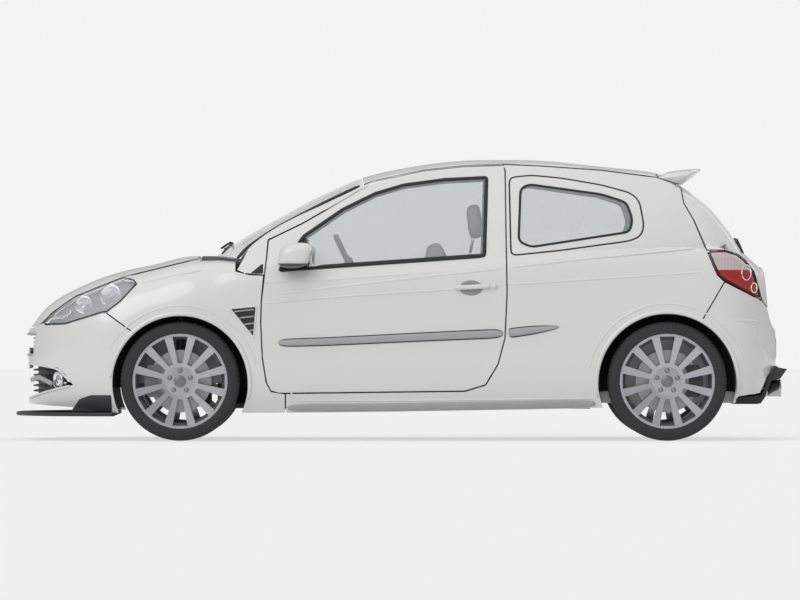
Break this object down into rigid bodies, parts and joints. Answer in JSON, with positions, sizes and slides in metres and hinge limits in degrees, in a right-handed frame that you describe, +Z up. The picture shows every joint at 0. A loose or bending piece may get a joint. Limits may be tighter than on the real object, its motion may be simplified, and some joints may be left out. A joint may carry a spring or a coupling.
{
  "type": "hatchback car",
  "caption": "Compact three-door hatchback with opening doors, bonnet and tailgate, steered front wheels and a hollow cabin.",
  "frame": {"origin": "on the ground under the middle of the car's box", "axes": "+X rearward, +Y to the car's right, +Z up"},
  "size_m": [4.126, 1.97, 1.5004],
  "materials": {
    "white_paint": "gloss",
    "window_glass": "clear",
    "black_plastic": "satin",
    "lamp_clear": "gloss",
    "lamp_red": "gloss",
    "chassis_steel": "matte",
    "engine_metal": "cast",
    "exhaust_steel": "brushed",
    "cabin_plastic": "grained",
    "seat_fabric": "woven",
    "cast_metal": "cast",
    "tyre_rubber": "matte",
    "wheel_alloy": "satin",
    "disc_iron": "machined"
  },
  "bodies": {
    "body": {"side_panel_left": "white_paint", "side_panel_right": "white_paint", "roof_panel": "white_paint", "windscreen": "window_glass", "scuttle_panel": "black_plastic", "front_wings": "white_paint", "front_bumper": "white_paint", "front_splitter": "black_plastic", "headlights": "lamp_clear", "tail_lights": "lamp_red", "rear_bumper": "white_paint", "rear_diffuser": "black_plastic", "quarter_windows": "window_glass", "floor_pan": "chassis_steel", "engine_block": "engine_metal", "front_subframe": "chassis_steel", "rear_axle": "chassis_steel", "exhaust": "exhaust_steel", "dashboard": "cabin_plastic", "front_seats": "seat_fabric", "rear_bench": "seat_fabric"},
    "door_left": {"door_left": "white_paint", "door_glass_left": "window_glass", "door_mirror_left": "black_plastic"},
    "door_right": {"door_right": "white_paint", "door_glass_right": "window_glass", "door_mirror_right": "black_plastic"},
    "bonnet": {"bonnet": "white_paint"},
    "tailgate": {"tailgate": "white_paint", "tailgate_glass": "window_glass", "rear_spoiler": "white_paint"},
    "front_knuckle_left": {"front_knuckle_left": "cast_metal"},
    "front_knuckle_right": {"front_knuckle_right": "cast_metal"},
    "steering_wheel": {"steering_wheel": "cabin_plastic"},
    "wheel_front_left": {"tyre_front_left": "tyre_rubber", "rim_front_left": "wheel_alloy", "brake_disc_front_left": "disc_iron"},
    "wheel_front_right": {"tyre_front_right": "tyre_rubber", "rim_front_right": "wheel_alloy", "brake_disc_front_right": "disc_iron"},
    "wheel_rear_left": {"tyre_rear_left": "tyre_rubber", "rim_rear_left": "wheel_alloy", "brake_disc_rear_left": "disc_iron"},
    "wheel_rear_right": {"tyre_rear_right": "tyre_rubber", "rim_rear_right": "wheel_alloy", "brake_disc_rear_right": "disc_iron"}
  },
  "joints": [
    {"name": "door_left_hinge", "type": "hinge", "parent": "body", "child": "door_left", "pos_m": [-0.7, -0.851, 0.6], "axis": [0, 0, -1], "range_deg": [0, 65]},
    {"name": "door_right_hinge", "type": "hinge", "parent": "body", "child": "door_right", "pos_m": [-0.7, 0.851, 0.6], "axis": [0, 0, 1], "range_deg": [0, 65]},
    {"name": "bonnet_hinge", "type": "hinge", "parent": "body", "child": "bonnet", "pos_m": [-1.07, 0, 0.99], "axis": [0, 1, 0], "range_deg": [0, 55]},
    {"name": "tailgate_hinge", "type": "hinge", "parent": "body", "child": "tailgate", "pos_m": [1.372, 0, 1.44], "axis": [0, -1, 0], "range_deg": [0, 75]},
    {"name": "steer_left", "type": "hinge", "parent": "body", "child": "front_knuckle_left", "pos_m": [-1.168, -0.72, 0.317], "axis": [0, 0, 1], "range_deg": [-33, 33]},
    {"name": "steer_right", "type": "hinge", "parent": "body", "child": "front_knuckle_right", "pos_m": [-1.168, 0.72, 0.317], "axis": [0, 0, 1], "range_deg": [-33, 33]},
    {"name": "steering_wheel_turn", "type": "hinge", "parent": "body", "child": "steering_wheel", "pos_m": [-0.264, -0.36, 0.92], "axis": [0.903, 0, 0.4296], "range_deg": [-495, 495]},
    {"name": "wheel_spin_front_left", "type": "hinge", "parent": "front_knuckle_left", "child": "wheel_front_left", "pos_m": [-1.168, -0.76, 0.317], "axis": [0, 1, 0], "continuous": true},
    {"name": "wheel_spin_front_right", "type": "hinge", "parent": "front_knuckle_right", "child": "wheel_front_right", "pos_m": [-1.168, 0.76, 0.317], "axis": [0, 1, 0], "continuous": true},
    {"name": "wheel_spin_rear_left", "type": "hinge", "parent": "body", "child": "wheel_rear_left", "pos_m": [1.417, -0.76, 0.317], "axis": [0, 1, 0], "continuous": true},
    {"name": "wheel_spin_rear_right", "type": "hinge", "parent": "body", "child": "wheel_rear_right", "pos_m": [1.417, 0.76, 0.317], "axis": [0, 1, 0], "continuous": true}
  ],
  "couplings": [
    {"joint": "steer_right", "follows": "steer_left", "ratio": 1},
    {"joint": "steering_wheel_turn", "follows": "steer_left", "ratio": 15}
  ]
}
